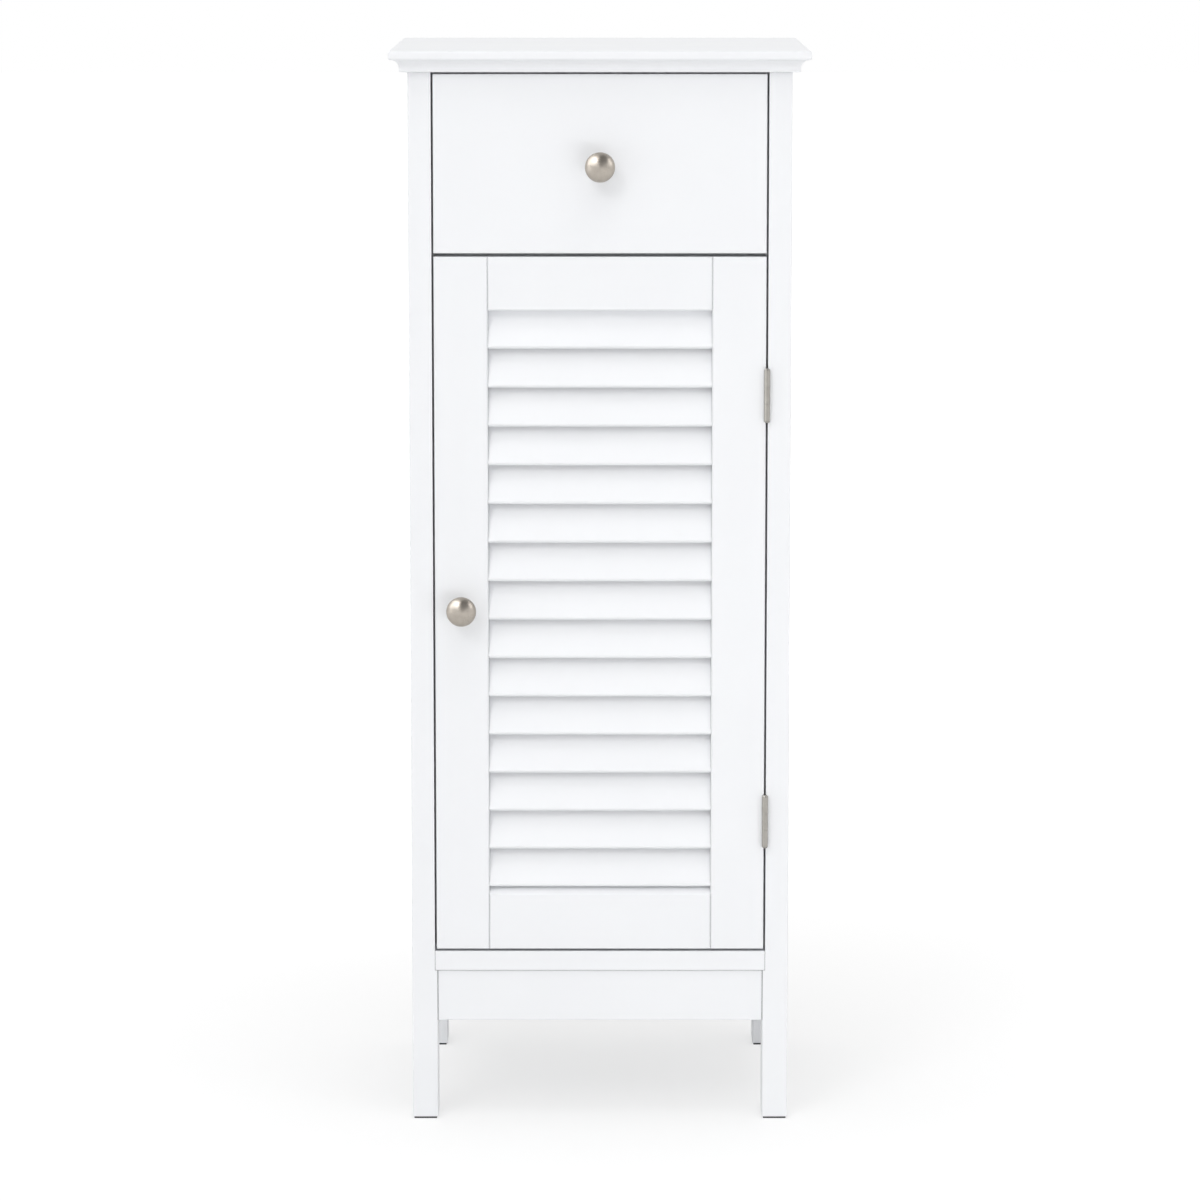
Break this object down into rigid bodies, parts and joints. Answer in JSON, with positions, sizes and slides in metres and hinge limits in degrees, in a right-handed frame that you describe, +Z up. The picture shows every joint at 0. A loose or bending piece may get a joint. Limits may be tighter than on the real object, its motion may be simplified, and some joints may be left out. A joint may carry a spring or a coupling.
{
  "type": "louvred door cabinet",
  "caption": "Slim white floor cabinet on four square legs, with a drawer over a right-hinged louvred door, round satin knobs and a moulded top.",
  "frame": {"origin": "on the floor, under the middle of the whole cabinet with its knobs", "axes": "+X to the right seen from the front, -Y to the front, +Z up"},
  "size_m": [0.335, 0.3096, 0.87],
  "materials": {
    "white_paint": "white satin lacquer on fibreboard",
    "white_hardboard": "thin white-faced hardboard",
    "beech": "bare planed hardwood",
    "satin_nickel": "satin nickel plate",
    "zinc_steel": "bright zinc plate",
    "white_plastic": "moulded, matt",
    "ferrite": "pressed ferrite",
    "dark_rubber": "matt"
  },
  "bodies": {
    "cabinet": {"top_panel": "white_paint", "post_front_left": "white_paint", "post_front_right": "white_paint", "post_rear_left": "white_paint", "post_rear_right": "white_paint", "side_panel_left": "white_paint", "side_panel_right": "white_paint", "bottom_panel": "white_paint", "divider_panel": "white_paint", "front_apron": "white_paint", "rear_apron": "white_paint", "back_panel": "white_hardboard", "shelf": "white_paint", "shelf_pins": "zinc_steel", "top_rail": "white_paint", "runner_left": "beech", "runner_right": "beech", "carcass_dowels": "beech", "cam_locks": "zinc_steel", "cam_bolts": "zinc_steel", "glides": "dark_rubber", "hinge_frame_leaves": "satin_nickel", "hinge_pins": "satin_nickel", "cabinet_screws": "zinc_steel", "catch_case": "white_plastic", "catch_magnet": "ferrite"},
    "door": {"door_stile_left": "white_paint", "door_stile_right": "white_paint", "door_rail_upper": "white_paint", "door_rail_lower": "white_paint", "door_dowels": "beech", "hinge_door_leaves": "satin_nickel", "door_screws": "zinc_steel", "door_knob": "satin_nickel", "door_knob_screw": "zinc_steel", "strike_plate": "zinc_steel", "louvre_slat_01": "white_paint", "louvre_slat_02": "white_paint", "louvre_slat_03": "white_paint", "louvre_slat_04": "white_paint", "louvre_slat_05": "white_paint", "louvre_slat_06": "white_paint", "louvre_slat_07": "white_paint", "louvre_slat_08": "white_paint", "louvre_slat_09": "white_paint", "louvre_slat_10": "white_paint", "louvre_slat_11": "white_paint", "louvre_slat_12": "white_paint", "louvre_slat_13": "white_paint", "louvre_slat_14": "white_paint", "louvre_slat_15": "white_paint"},
    "drawer": {"drawer_front": "white_paint", "drawer_side_left": "white_paint", "drawer_side_right": "white_paint", "drawer_back": "white_paint", "drawer_bottom": "white_hardboard", "drawer_dowels": "beech", "drawer_stop": "white_plastic", "drawer_knob": "satin_nickel", "drawer_knob_screw": "zinc_steel"}
  },
  "joints": [
    {"name": "door_hinge", "type": "hinge", "parent": "cabinet", "child": "door", "pos_m": [0.1337, -0.13345, 0.424], "axis": [0, 0, 1], "range_deg": [0, 180]},
    {"name": "drawer_slide", "type": "slide", "parent": "cabinet", "child": "drawer", "axis": [0, -1, 0], "range_m": [0, 0.196]}
  ]
}
